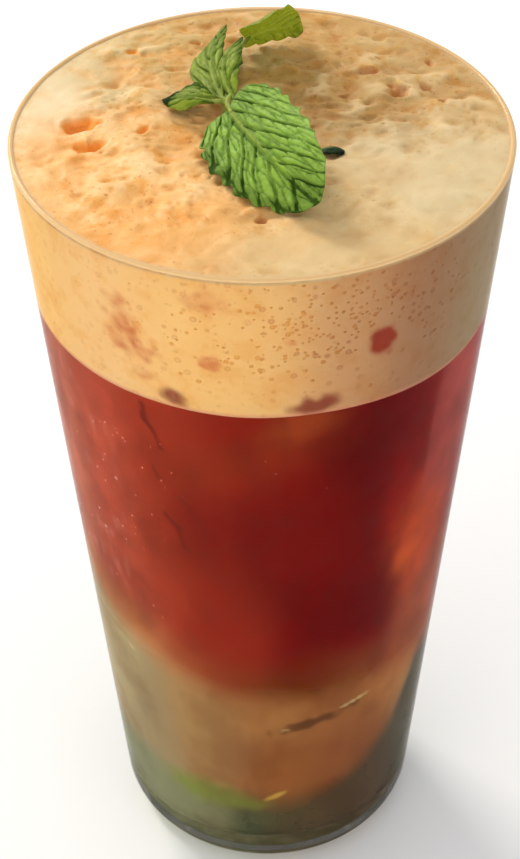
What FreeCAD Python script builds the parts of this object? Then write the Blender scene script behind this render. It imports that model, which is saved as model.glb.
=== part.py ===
"""Espresso soda: a tapered clear tumbler filled in three layers and topped with mint.

The tumbler is one revolved solid with a rolled lip, a rounded heel and a foot ring.  Its
contents share the tumbler's inner profile and are split by three wavy height surfaces:
soda with lime below, espresso in the middle, and a head of foam with a domed, lumpy top.
The mint sprig is one solid of five quilted leaves on short stalks; a small leaf tip pokes
out of the foam beside it.  Units are millimetres, the foot stands on z = 0, +Z is up.
"""
import FreeCAD, Part
import math
import os

V = FreeCAD.Vector

# ---- tumbler --------------------------------------------------------------------------
RIM_D = 80.0                 # outside diameter at the rim
HEIGHT = 148.0               # table to rim
BASE_D = 54.0                # outside diameter where the wall line would meet the table
HEEL_R = 7.5                 # outer rounding between wall and foot
WALL_RIM = 1.0               # wall thickness at the rim
WALL_FOOT = 2.4              # wall thickness just above the base
BASE_T = 7.0                 # thickness of the glass base
CORNER_R = 7.0               # inner rounding between floor and wall
FOOT_RING_R = 14.0           # inner radius of the ring the tumbler stands on
PUNT = 0.8                   # hollow inside the foot ring

# ---- drink ----------------------------------------------------------------------------
FOAM_BELOW_RIM = 0.4         # foam edge under the rim
FOAM_DOME = 1.6              # rise of the foam from its edge to its crown
FOAM_DEPTH = 27.7            # from the foam's edge down to its underside
FOAM_TILT = 0.021            # slope of that underside, falling to the right
SODA_LINE = 56.3             # height over the table where espresso meets soda
SODA_SAG = 3.6               # the soda surface falls by this from the axis to the wall
SODA_TILT = 0.13             # and slopes down to the right
LUMP = 0.42                  # half height of the lumps on the foam
LUMP_PITCH = 9.0             # mean distance between lumps
SWIRL = 0.8                  # half height of the waves where the layers meet
HOLLOW = 0.55                # the sprig presses the foam down by this
HOLLOW_R = 17.0              # radius of the pressed patch
HOLLOW_AT = (0.0, -6.0)      # its centre

# popped bubbles in the foam: place as fractions of the rim radius, bubble radius, and how
# deep the pit goes, as a fraction of that radius
PITS = (
    (-0.72, 0.01, 2.7, 0.50), (-0.66, -0.13, 1.9, 0.45), (-0.47, 0.00, 1.1, 0.50),
    (-0.52, 0.62, 0.9, 0.60), (-0.28, 0.68, 0.8, 0.60), (0.44, 0.42, 1.5, 0.45),
    (0.55, 0.26, 1.9, 0.35), (0.66, 0.31, 1.3, 0.45), (0.69, 0.52, 0.9, 0.60),
    (0.72, 0.17, 0.8, 0.60), (-0.02, -0.63, 1.0, 0.60),
)

# ---- mint -----------------------------------------------------------------------------
LEAF_T = 0.45                # leaf thickness
STEM_R = 0.95                # radius of the stem
STALK_R = 0.55               # radius of each leaf stalk
STEM_SUNK = 6.0              # how far the stem stands in the foam
NODE_R = 1.15                # swelling where the stalks meet
JOINT = (-5.5, 3.3, 2.0)     # that swelling, from the crown of the foam

# Each leaf stands in a plane of its own: "at" is its base (x, y, height over the foam
# crown), "heading", "pitch" and "roll" turn it (degrees), "bend" and "arch" bow the midrib
# sideways and upward as fractions of the length, "twist" turns the blade toward the tip.
# Pairs give the left and the right side, seen from the base: half width, droop of the
# edge, and how far the base lobe reaches back.  "blunt" rounds the base and the tip.
LEAVES = {
    "front": dict(
        at=(-5.0, -1.1, 3.4), heading=-62.2, pitch=0.0, roll=31.0, length=28.6,
        bend=-0.026, arch=0.067, twist=0.43, width=(7.9, 7.6), droop=(0.25, -0.14),
        lobe=(1.33, 0.44), blunt=(0.44, 0.60), teeth=9, tooth=0.06, veins=8, quilt=0.36,
        step=0.62),
    "left": dict(
        at=(-7.0, 3.5, 2.1), heading=168.6, pitch=-3.6, roll=2.9, length=8.8,
        bend=0.07, arch=0.12, twist=0.5, width=(1.5, 4.6), droop=(0.8, -0.19),
        lobe=(-0.4, 0.17), blunt=(0.95, 0.48), teeth=5, tooth=0.07, veins=5, quilt=0.15,
        step=0.42),
    "mid_left": dict(
        at=(-6.1, 3.9, 2.3), heading=89.4, pitch=1.1, roll=-34.0, length=22.5,
        bend=0.079, arch=0.056, twist=-0.18, width=(3.9, 1.9), droop=(-0.10, 0.10),
        lobe=(-0.69, -1.19), blunt=(1.05, 0.89), teeth=7, tooth=0.07, veins=6, quilt=0.20,
        step=0.55),
    "mid_right": dict(
        at=(-4.6, 3.8, 2.5), heading=84.4, pitch=10.4, roll=-44.8, length=14.7,
        bend=0.081, arch=0.149, twist=0.0, width=(0.7, 2.7), droop=(0.24, 0.42),
        lobe=(0.1, -0.09), blunt=(0.87, 0.95), teeth=5, tooth=0.05, veins=6, quilt=0.14,
        step=0.5),
    "back": dict(
        at=(-2.4, 20.6, 3.4), heading=38.1, pitch=-11.9, roll=104.8, length=12.4,
        bend=0.091, arch=0.0, twist=-0.5, width=(5.9, 2.9), droop=(-0.43, 0.30),
        lobe=(1.16, -0.16), blunt=(0.32, 0.88), teeth=5, tooth=0.07, veins=5, quilt=0.16,
        step=0.5),
}
# the stalk of the back leaf runs low behind the others
BACK_STALK = ((-5.6, 9.0, 1.2), (-5.2, 15.0, 1.3), (-3.4, 19.0, 2.6))

# small leaf tip standing out of the foam; its base is sunk
TIP = dict(
    at=(8.8, -6.6, 0.0), heading=-12.0, pitch=4.0, roll=-8.0, length=4.0,
    bend=0.05, arch=0.12, twist=0.0, width=(0.9, 1.1), droop=(0.3, 0.3),
    lobe=(0.0, 0.0), blunt=(0.5, 0.7), teeth=3, tooth=0.05, veins=4, quilt=0.08, step=0.35)

RIM_R = RIM_D / 2
BASE_R = BASE_D / 2
CROWN_Z = HEIGHT - FOAM_BELOW_RIM + FOAM_DOME
FOAM_LINE = HEIGHT - FOAM_BELOW_RIM - FOAM_DEPTH
FAR = 1.3 * RIM_R            # half size of the surfaces that split the drink


# ---- tumbler --------------------------------------------------------------------------
def wall_radius(z):
    """Outside radius of the straight wall at height z."""
    return BASE_R + (RIM_R - BASE_R) * z / HEIGHT


def inner_radius(z):
    """Inside radius of the wall at height z."""
    t = WALL_FOOT + (WALL_RIM - WALL_FOOT) * (z - BASE_T) / (HEIGHT - BASE_T)
    return wall_radius(z) - t


def rounded(corners, closed=True):
    """Edges through (r, z, fillet) corners in the XZ plane, with an arc at each fillet."""
    n = len(corners)
    ends = []
    for i, (r, z, fillet) in enumerate(corners):
        here = V(r, 0, z)
        if fillet == 0:
            ends.append((here, None, here))
            continue
        before = V(corners[i - 1][0], 0, corners[i - 1][1]) - here
        after = V(corners[(i + 1) % n][0], 0, corners[(i + 1) % n][1]) - here
        a, b = V(before).normalize(), V(after).normalize()
        half = a.getAngle(b) / 2
        reach = fillet / math.tan(half)
        centre = here + (a + b).normalize() * (fillet / math.sin(half))
        middle = centre + (here - centre).normalize() * fillet
        ends.append((here + a * reach, middle, here + b * reach))
    edges = []
    for i, (start, middle, end) in enumerate(ends):
        if middle is not None:
            edges.append(Part.Arc(start, middle, end).toShape())
        if closed or i < n - 1:
            follow = ends[(i + 1) % n][0]
            if end.distanceToPoint(follow) > 1e-6:
                edges.append(Part.LineSegment(end, follow).toShape())
    return edges


def revolved(corners):
    """Solid turned from a closed profile about the Z axis."""
    face = Part.Face(Part.Wire(Part.__sortEdges__(rounded(corners))))
    return face.revolve(V(0, 0, 0), V(0, 0, 1), 360)


def tumbler():
    lip = 0.49 * WALL_RIM
    slope = math.atan2(RIM_R - BASE_R, HEIGHT)
    return revolved([
        (0, PUNT, 0),
        (FOOT_RING_R - 2.5, PUNT, 3.0),
        (FOOT_RING_R, 0, 1.5),
        (BASE_R, 0, HEEL_R),
        (RIM_R, HEIGHT, lip * math.cos(slope)),
        (inner_radius(HEIGHT), HEIGHT, lip * math.cos(slope)),
        (inner_radius(BASE_T), BASE_T, CORNER_R),
        (0, BASE_T, 0),
    ])


def cavity(top):
    """Everything inside the tumbler from its floor up to a flat top."""
    return revolved([
        (0, BASE_T, 0),
        (inner_radius(BASE_T), BASE_T, CORNER_R),
        (inner_radius(top), top, 0),
        (0, top, 0),
    ])


# ---- drink ----------------------------------------------------------------------------
def waves(x, y, pitch, turn):
    """Smooth uneven waves between about -1 and 1."""
    total = 0.0
    for i, share in enumerate((0.34, 0.27, 0.22, 0.17)):
        heading = turn + 2.4 * i
        k = 2 * math.pi / (pitch * (1.25 - 0.17 * i))
        along = x * math.cos(heading) + y * math.sin(heading)
        across = y * math.cos(heading) - x * math.sin(heading)
        total += share * math.sin(k * along + 1.7 * i + 0.9 * math.sin(0.31 * k * across + i))
    return total


def foam_top(x, y):
    r = min(1.0, math.hypot(x, y) / RIM_R)
    dome = FOAM_DOME * (1 - r ** 2)
    calm = 1 - r ** 6
    press = math.exp(-(math.hypot(x - HOLLOW_AT[0], y - HOLLOW_AT[1]) / HOLLOW_R) ** 4)
    lumps = LUMP * calm * (1 - 0.8 * press) * waves(x, y, LUMP_PITCH, 0.6)
    return HEIGHT - FOAM_BELOW_RIM + dome + lumps - HOLLOW * press


def foam_line(x, y):
    return FOAM_LINE - FOAM_TILT * x + 0.5 * SWIRL * waves(x, y, 3.5 * LUMP_PITCH, 2.1)


def soda_line(x, y):
    r = math.hypot(x, y) / wall_radius(SODA_LINE)
    return SODA_LINE - SODA_SAG * r ** 2 - SODA_TILT * x + SWIRL * waves(x, y, 24.0, 4.0)


def above(height, steps):
    """Block of everything above a height surface."""
    grid = []
    for i in range(steps + 1):
        x = FAR * (2 * i / steps - 1)
        grid.append([V(x, y, height(x, y))
                     for y in (FAR * (2 * j / steps - 1) for j in range(steps + 1))])
    surface = Part.BSplineSurface()
    surface.interpolate(grid)
    return surface.toShape().extrude(V(0, 0, 2 * HEIGHT))


def pits():
    """Balls that leave a dent of the stated depth in the foam."""
    balls = []
    for fx, fy, radius, depth in PITS:
        x, y = fx * RIM_R, fy * RIM_R
        balls.append(Part.makeSphere(radius, V(x, y, foam_top(x, y) + radius * (1 - depth))))
    return balls


# ---- mint -----------------------------------------------------------------------------
def bow(leaf, x):
    """Sideways offset of the midrib at the length x."""
    t = max(0.0, x / leaf["length"])
    return leaf["bend"] * leaf["length"] * 4 * t * (1 - t)


def blade(leaf, x, y):
    """Height of the leaf's upper face over its own plane."""
    t = x / leaf["length"]
    off = y - bow(leaf, x)
    side = 0 if off > 0 else 1
    droop = leaf["droop"][side] * off * off / leaf["width"][side]
    return (leaf["arch"] * leaf["length"] * math.sin(math.pi * t) - droop
            + leaf["twist"] * off * t + quilt(leaf, t, off))


def quilt(leaf, t, off):
    """Puffed cells between side veins that run forward from the sunken midrib."""
    a = abs(off)
    vein = leaf["veins"] * (t - 1.1 * a / leaf["length"])
    cell = math.sin(math.pi * vein) ** 2
    cross = 0.75 + 0.25 * math.cos(2 * math.pi * a / 2.6 + 2.0 * vein)
    rib = math.exp(-(a / 0.55) ** 2)
    return leaf["quilt"] * (cell * cross * (1 - rib) - 0.7 * rib)


def leaf_edge(leaf, side, count):
    """Points of one toothed edge from the base to the tip, in the leaf's own plane."""
    base, tip = leaf["blunt"]
    widest = base / (base + tip)
    peak = widest ** base * (1 - widest) ** tip
    points = []
    for i in range(count + 1):
        u = 0.5 - 0.5 * math.cos(math.pi * i / count)
        tooth = 1 + leaf["tooth"] * (math.sin(math.pi * ((u * leaf["teeth"]) % 1.0)) - 0.5)
        wide = (0.3 + leaf["width"][side] * u ** base * (1 - u) ** tip / peak) * tooth
        x = leaf["length"] * u - leaf["lobe"][side] * wide * (1 - u) ** 2
        points.append((x, bow(leaf, x) + (wide if side == 0 else -wide)))
    return points


def leaf_frame(leaf, crown):
    """Placement of the leaf's own plane: x runs to the tip, z is the upper face."""
    x, y, z = leaf["at"]
    turn = (FreeCAD.Rotation(V(0, 0, 1), leaf["heading"])
            * FreeCAD.Rotation(V(0, 1, 0), -leaf["pitch"])
            * FreeCAD.Rotation(V(1, 0, 0), leaf["roll"]))
    return FreeCAD.Placement(V(x, y, z + crown), turn)


def leaf_solid(leaf, crown):
    """A bent sheet with veins, trimmed to the toothed outline of the leaf."""
    count = 9 * leaf["teeth"]
    left, right = (leaf_edge(leaf, side, count) for side in (0, 1))
    edges = []
    for points in (left, right):
        curve = Part.BSplineCurve()
        curve.interpolate([V(x, y, 0) for x, y in points])
        edges.append(curve.toShape())
    for end in (0, -1):
        edges.append(Part.LineSegment(V(*left[end], 0), V(*right[end], 0)).toShape())
    outline = Part.Face(Part.Wire(Part.__sortEdges__(edges)))
    deep = leaf["length"]
    outline.translate(V(0, 0, -deep))
    prism = outline.extrude(V(0, 0, 2 * deep))

    xs = [x for x, y in left + right]
    ys = [y for x, y in left + right]
    step, grid = leaf["step"], []
    across = int((max(ys) - min(ys) + 2) / step) + 1
    along = int((max(xs) - min(xs) + 2) / step) + 1
    for i in range(along + 1):
        x = min(xs) - 1 + i * step
        grid.append([V(x, y, blade(leaf, x, y))
                     for y in (min(ys) - 1 + j * step for j in range(across + 1))])
    sheet = Part.BSplineSurface()
    sheet.interpolate(grid)
    solid = sheet.toShape().extrude(V(0, 0, -LEAF_T)).common(prism)
    solid.Placement = leaf_frame(leaf, crown)
    return one(solid)


def stalk(points, radius):
    """Round stalk through the points."""
    curve = Part.BSplineCurve()
    curve.interpolate(points)
    first = curve.tangent(curve.FirstParameter)[0]
    ring = Part.Wire(Part.Circle(points[0], first, radius).toShape())
    return Part.Wire(curve.toShape()).makePipeShell([ring], True, True)


def sprig():
    joint = V(JOINT[0], JOINT[1], JOINT[2] + CROWN_Z)
    foot = V(joint.x - 0.4, joint.y + 1.2, CROWN_Z - STEM_SUNK)
    middle = (foot + joint) * 0.5 + V(0.2, 0, 0)
    pieces = [stalk([foot, middle, joint], STEM_R)]
    for name, leaf in LEAVES.items():
        frame = leaf_frame(leaf, CROWN_Z)
        base = frame.multVec(V(0.7, 0, blade(leaf, 0.7, 0) - LEAF_T / 2))
        route = [joint, (joint + base) * 0.5 + V(0, 0, 0.1), base]
        if name == "back":
            route[1:2] = [V(x, y, z + CROWN_Z) for x, y, z in BACK_STALK]
        pieces += [stalk(route, STALK_R), Part.makeSphere(STALK_R * 1.03, base)]
        pieces.append(leaf_solid(leaf, CROWN_Z))
    whole = Part.makeSphere(NODE_R, joint)
    for piece in pieces:
        whole = whole.fuse(piece)
    return whole


def leaf_tip():
    x, y = TIP["at"][:2]
    return leaf_solid(TIP, foam_top(x, y))


def one(shape):
    """The single solid of a result; a stray sliver would mean a wrong size above."""
    solids = sorted(shape.Solids, key=lambda s: s.Volume)
    return solids[-1]


def build():
    mint, tip = one(sprig()), leaf_tip()
    full = cavity(HEIGHT + 0.9 * FOAM_DOME + 3)
    over_soda, over_espresso = above(soda_line, 24), above(foam_line, 20)
    soda = full.cut(over_soda)
    espresso = full.common(over_soda).cut(over_espresso)
    foam = full.common(over_espresso).cut(above(foam_top, 48))
    foam = foam.cut(pits()).cut([mint, tip])
    return {
        "glass": one(tumbler()),
        "soda": one(soda),
        "espresso": one(espresso),
        "foam": one(foam),
        "mint_sprig": mint,
        "mint_tip": tip,
    }


os.makedirs("parts", exist_ok=True)
for node, solid in build().items():
    solid.exportStep(os.path.join("parts", node + ".step"))
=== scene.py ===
"""Looks of the espresso soda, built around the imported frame.

The tumbler and its three layers are replaced by finely rounded pieces on the same sizes
as the CAD: clear glass, a bubbly head of foam, red espresso that absorbs light, and cloudy
soda.  What lies blurred behind the wall is painted on the layers.  The mint is replaced by
leaves with veins in relief.  Shapes are worked out in mm and made in metres, in the frame's
own coordinates.
"""

import math

import bpy
import numpy as np
from mathutils import Matrix, Vector


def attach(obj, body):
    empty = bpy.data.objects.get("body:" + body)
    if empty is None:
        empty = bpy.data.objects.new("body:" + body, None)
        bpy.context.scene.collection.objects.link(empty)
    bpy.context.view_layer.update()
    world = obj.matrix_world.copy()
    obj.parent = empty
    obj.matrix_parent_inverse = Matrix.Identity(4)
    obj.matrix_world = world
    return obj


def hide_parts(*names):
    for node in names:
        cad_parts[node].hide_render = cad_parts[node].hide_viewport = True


MM = 0.001
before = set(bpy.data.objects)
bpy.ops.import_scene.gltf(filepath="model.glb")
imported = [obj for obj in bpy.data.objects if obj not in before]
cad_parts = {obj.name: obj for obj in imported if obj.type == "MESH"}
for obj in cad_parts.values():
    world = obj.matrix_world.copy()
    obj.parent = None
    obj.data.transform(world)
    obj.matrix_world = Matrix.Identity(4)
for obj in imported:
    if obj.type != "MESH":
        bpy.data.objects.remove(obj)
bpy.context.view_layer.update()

# ---- sizes of the CAD model, mm ----
RIM_R, BASE_R, HEIGHT = 40.0, 27.0, 148.0
HEEL_R, WALL_RIM, WALL_FOOT = 7.5, 1.0, 2.4
BASE_T, CORNER_R, FOOT_RING_R, PUNT = 7.0, 7.0, 14.0, 0.8
FOAM_BELOW_RIM, FOAM_DOME, FOAM_DEPTH, FOAM_TILT = 0.4, 1.6, 27.7, 0.021
SODA_LINE, SODA_SAG, SODA_TILT = 56.3, 3.6, 0.13
LUMP, LUMP_PITCH, SWIRL = 0.42, 9.0, 0.8
HOLLOW, HOLLOW_R, HOLLOW_AT = 0.55, 17.0, (0.0, -6.0)
CROWN_Z = HEIGHT - FOAM_BELOW_RIM + FOAM_DOME
FOAM_LINE = HEIGHT - FOAM_BELOW_RIM - FOAM_DEPTH

# ---- sizes of the looks, mm ----
SEAT, FOAM_SEAT = 0.2, 0.4   # how far the contents reach into the wall, and the foam's extra
LIP_FOAM = 0.45              # height of the lip that is wet with foam
NOISE_R, SPOT_R = 36.0, 38.0     # radii at which degrees round the wall become mm
CORE_R = 20.0                # no spot is painted nearer the axis than this
EDGE_STEPS = 6               # rounds of finding where a surface meets the wall
GLASS_IOR, DRINK_IOR = 1.47, 1.34      # bending of light, no unit

PITS = (                     # x, y as fractions of the rim radius, radius mm, depth
    (-0.72, 0.05, 2.7, 0.50), (-0.66, -0.12, 1.9, 0.45), (-0.47, 0.00, 1.1, 0.50),
    (-0.52, 0.62, 0.9, 0.60), (-0.28, 0.68, 0.8, 0.60), (0.44, 0.42, 1.5, 0.45),
    (0.55, 0.26, 1.9, 0.35), (0.66, 0.31, 1.3, 0.45), (0.69, 0.52, 0.9, 0.60),
    (0.72, 0.17, 0.8, 0.60), (-0.02, -0.63, 1.0, 0.60),
)

LEAVES = {
    "front": dict(
        at=(-5.0, -1.1, 3.4), heading=-62.2, pitch=0.0, roll=31.0, length=28.6,
        bend=-0.026, arch=0.067, twist=0.43, width=(7.9, 7.6), droop=(0.25, -0.14),
        lobe=(1.33, 0.44), blunt=(0.44, 0.60), teeth=9, tooth=0.06, veins=6, quilt=0.75),
    "left": dict(
        at=(-7.0, 3.5, 2.1), heading=168.6, pitch=-3.6, roll=2.9, length=8.8,
        bend=0.07, arch=0.12, twist=0.5, width=(1.5, 4.6), droop=(0.8, -0.19),
        lobe=(-0.4, 0.17), blunt=(0.95, 0.48), teeth=5, tooth=0.14, veins=4, quilt=0.35, dark=2.2),
    "mid_left": dict(
        at=(-6.1, 3.9, 2.3), heading=89.4, pitch=1.1, roll=-34.0, length=22.5,
        bend=0.079, arch=0.056, twist=-0.18, width=(3.9, 1.9), droop=(-0.10, 0.10),
        lobe=(-0.69, -1.19), blunt=(1.05, 0.89), teeth=7, tooth=0.12, veins=5, quilt=0.5),
    "mid_right": dict(
        at=(-4.6, 3.8, 2.5), heading=84.4, pitch=10.4, roll=-44.8, length=14.7,
        bend=0.081, arch=0.149, twist=0.0, width=(0.7, 2.7), droop=(0.24, 0.42),
        lobe=(0.1, -0.09), blunt=(0.87, 0.95), teeth=5, tooth=0.08, veins=4, quilt=0.4),
    "back": dict(
        at=(-2.4, 20.6, 3.4), heading=38.1, pitch=-11.9, roll=104.8, length=12.4,
        bend=0.091, arch=0.0, twist=-0.5, width=(5.9, 2.9), droop=(-0.43, 0.30),
        lobe=(1.16, -0.16), blunt=(0.32, 0.88), teeth=4, tooth=0.34, veins=5, quilt=0.5),
}
JOINT = (-5.5, 3.3, 2.0)
BACK_STALK = ((-5.6, 9.0, 1.2), (-5.2, 15.0, 1.3), (-3.4, 19.0, 2.6))
STEM_R, STALK_R, STEM_SUNK = 0.95, 0.55, 6.0
LEAF_THICK, STALK_END = 0.34, 0.8      # the stalk ends this far under its leaf
TUBE_SIDES = 14
TIP = dict(
    at=(8.8, -6.6, 0.0), heading=-12.0, pitch=4.0, roll=-8.0, length=4.0,
    bend=0.05, arch=0.12, twist=0.0, width=(0.9, 1.1), droop=(0.3, 0.3),
    lobe=(0.0, 0.0), blunt=(0.5, 0.7), teeth=3, tooth=0.05, veins=4, quilt=0.08)


# ---- noise in plain numpy ----
def lattice(ix, iy, seed):
    """Repeatable random number in 0..1 for each lattice point."""
    n = (ix.astype(np.int64) * 374761393 + iy.astype(np.int64) * 668265263 + seed * 974711)
    n = (n ^ (n >> 13)) * 1274126177 & 0x7FFFFFFF
    return ((n ^ (n >> 16)) & 0xFFFF) / 65535.0


def unit(t):
    return np.clip(t, 0, 1)


def smooth(t):
    t = unit(t)
    return t * t * (3 - 2 * t)


def soft_noise(x, y, pitch, seed):
    """Smooth noise in -1..1 with one bump about every pitch."""
    u, v = np.asarray(x) / pitch, np.asarray(y) / pitch
    ix, iy = np.floor(u), np.floor(v)
    fx, fy = smooth(u - ix), smooth(v - iy)
    a, b = lattice(ix, iy, seed), lattice(ix + 1, iy, seed)
    c, d = lattice(ix, iy + 1, seed), lattice(ix + 1, iy + 1, seed)
    return 2 * ((a * (1 - fx) + b * fx) * (1 - fy) + (c * (1 - fx) + d * fx) * fy) - 1


def cells(x, y, pitch, seed):
    """Distances to the two nearest scattered points, in pitches, and the nearest's number."""
    u, v = np.asarray(x) / pitch, np.asarray(y) / pitch
    ix, iy = np.floor(u), np.floor(v)
    near, far = np.full(np.shape(u), 9.0), np.full(np.shape(u), 9.0)
    mark = np.zeros(np.shape(u))
    for dx in (-1, 0, 1):
        for dy in (-1, 0, 1):
            px = ix + dx + lattice(ix + dx, iy + dy, seed)
            py = iy + dy + lattice(ix + dx, iy + dy, seed + 7)
            d = np.hypot(u - px, v - py)
            closer = d < near
            far = np.where(closer, near, np.minimum(far, d))
            near = np.where(closer, d, near)
            mark = np.where(closer, lattice(ix + dx, iy + dy, seed + 13), mark)
    return near, far, mark


# ---- shapes of the drink ----
def wall_radius(z):
    return BASE_R + (RIM_R - BASE_R) * z / HEIGHT


def inner_radius(z):
    return wall_radius(z) - WALL_FOOT - (WALL_RIM - WALL_FOOT) * (z - BASE_T) / (HEIGHT - BASE_T)


def seat(z):
    """Radius that the contents reach, just inside the wall's own glass."""
    return inner_radius(z) + SEAT + FOAM_SEAT * smooth((z - FOAM_LINE - 3) / 12)


def waves(x, y, pitch, turn):
    total = 0.0
    for i, share in enumerate((0.34, 0.27, 0.22, 0.17)):
        heading = turn + 2.4 * i
        k = 2 * math.pi / (pitch * (1.25 - 0.17 * i))
        along = x * math.cos(heading) + y * math.sin(heading)
        across = y * math.cos(heading) - x * math.sin(heading)
        total = total + share * np.sin(k * along + 1.7 * i + 0.9 * np.sin(0.31 * k * across + i))
    return total


def foam_top(x, y):
    r = np.minimum(1.0, np.hypot(x, y) / RIM_R)
    press = np.exp(-(np.hypot(x - HOLLOW_AT[0], y - HOLLOW_AT[1]) / HOLLOW_R) ** 4)
    lumps = LUMP * (1 - r ** 6) * (1 - 0.8 * press) * waves(x, y, LUMP_PITCH, 0.6)
    return HEIGHT - FOAM_BELOW_RIM + FOAM_DOME * (1 - r ** 2) + lumps - HOLLOW * press


def foam_line(x, y):
    return FOAM_LINE - FOAM_TILT * x + 0.5 * SWIRL * waves(x, y, 3.5 * LUMP_PITCH, 2.1)


def soda_line(x, y):
    r = np.hypot(x, y) / wall_radius(SODA_LINE)
    return SODA_LINE - SODA_SAG * r ** 2 - SODA_TILT * x + SWIRL * waves(x, y, 24.0, 4.0)


def rounded(corners, steps):
    """(r, z) points along the corners, with an arc at each corner that has a fillet."""
    points = []
    n = len(corners)
    for i, (r, z, fillet) in enumerate(corners):
        here = Vector((r, z))
        if not fillet:
            points.append(tuple(here))
            continue
        a = (Vector(corners[i - 1][:2]) - here).normalized()
        b = (Vector(corners[(i + 1) % n][:2]) - here).normalized()
        half = a.angle(b) / 2
        centre = here + (a + b).normalized() * (fillet / math.sin(half))
        start = here + a * (fillet / math.tan(half)) - centre
        end = here + b * (fillet / math.tan(half)) - centre
        for k in range(steps + 1):
            t = k / steps
            w = start.lerp(end, t).normalized() * fillet
            points.append(tuple(centre + w))
    return points


# ---- mesh helpers ----
def link(thing):
    bpy.context.scene.collection.objects.link(thing)
    return thing


def add_object(name, verts, faces, materials, nodes=(), attributes=None, rims=False):
    """Adds a smooth mesh piece (points in mm) that rides with the drink."""
    mesh = bpy.data.meshes.new(name)
    mesh.from_pydata((np.asarray(verts, float) * MM).tolist(), [], faces)
    mesh.update()
    mesh.shade_smooth()
    if rims:
        mesh.set_sharp_from_angle(angle=math.radians(50))
    for key, values in (attributes or {}).items():
        values = np.asarray(values, np.float32)
        if values.ndim == 2:                         # a colour per point
            layer = mesh.attributes.new(key, "FLOAT_COLOR", "POINT")
            values = np.concatenate([values, np.ones((len(values), 1), np.float32)], 1)
            layer.data.foreach_set("color", values.ravel())
        else:
            layer = mesh.attributes.new(key, "FLOAT", "POINT")
            layer.data.foreach_set("value", values.ravel())
    for material in materials:
        mesh.materials.append(material)
    piece = link(bpy.data.objects.new(name, mesh))
    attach(piece, "root")
    if nodes:
        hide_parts(*nodes)
    return piece


def ring_faces(rows, count, top, bottom):
    """Quads between rows of a closed ring, and a fan to the points top and bottom at its ends."""
    faces = []
    for k in range(rows - 1):
        for j in range(count):
            a, b = k * count + j, k * count + (j + 1) % count
            faces.append((a, a + count, b + count, b))
    last = (rows - 1) * count
    faces += [(top, j, (j + 1) % count) for j in range(count)]
    faces += [(bottom, last + (j + 1) % count, last + j) for j in range(count)]
    return faces


def turned(name, profile, materials, nodes, count):
    """Solid of revolution whose profile starts and ends on the axis (inside to outside)."""
    angles = np.arange(count) * 2 * math.pi / count
    verts = []
    for r, z in profile[1:-1]:
        verts += [(r * math.cos(a), r * math.sin(a), z) for a in angles]
    rows = len(profile) - 2
    verts += [(0, 0, profile[0][1]), (0, 0, profile[-1][1])]
    faces = ring_faces(rows, count, rows * count, rows * count + 1)
    return add_object(name, verts, faces, materials, nodes)


def around(count):
    """Cosines and sines of even angles round the axis."""
    angles = np.arange(count) * 2 * math.pi / count
    return np.cos(angles), np.sin(angles)


def wall_edge(height, guess, ca, sa):
    """Radius at which a height surface meets the wall, for each angle."""
    edge = np.full(len(ca), guess)
    for _ in range(EDGE_STEPS):
        edge = seat(height(edge * ca, edge * sa))
    return edge


def face_rings(height, edge, shares, ca, sa):
    """Rings of points on a height surface, at these shares of the way to its edge."""
    return [np.stack([r * ca, r * sa, height(r * ca, r * sa)], 1)
            for r in (edge * share for share in shares)]


def wall_rings(top, bottom, steps, ca, sa):
    """Rings of points down the wall, between two rows of heights."""
    return [np.stack([seat(z) * ca, seat(z) * sa, z], 1)
            for z in (top + (bottom - top) * k / steps for k in range(1, steps))]


def closed(rows, top, bottom):
    """Points and faces of the skin over rings, with its ends at two heights on the axis."""
    count = len(rows[0])
    n = len(rows) * count
    verts = np.concatenate(rows + [np.array([[0, 0, top], [0, 0, bottom]])])
    return verts, ring_faces(len(rows), count, n, n + 1)


def at_axis(height):
    zero = np.zeros(1)
    return float(height(zero, zero)[0])


def layer(top, bottom, top_rings, side_rings, bottom_rings, count):
    """Points and faces of a layer of the drink between two height surfaces."""
    ca, sa = around(count)
    guess = seat(HEIGHT * 0.8)
    rows = face_rings(top, wall_edge(top, guess, ca, sa),
                      np.arange(1, top_rings + 1) / top_rings, ca, sa)
    under = face_rings(bottom, wall_edge(bottom, guess, ca, sa),
                       np.arange(bottom_rings, 0, -1) / bottom_rings, ca, sa)
    rows += wall_rings(rows[-1][:, 2], under[0][:, 2], side_rings, ca, sa)
    return closed(rows + under, at_axis(top), at_axis(bottom))


# ---- material helpers ----
def srgb(r, g, b):
    """Linear colour from 0..255 screen values."""
    return tuple(((c / 255 + 0.055) / 1.055) ** 2.4 if c > 10 else c / 255 / 12.92
                 for c in (r, g, b)) + (1.0,)


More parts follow.
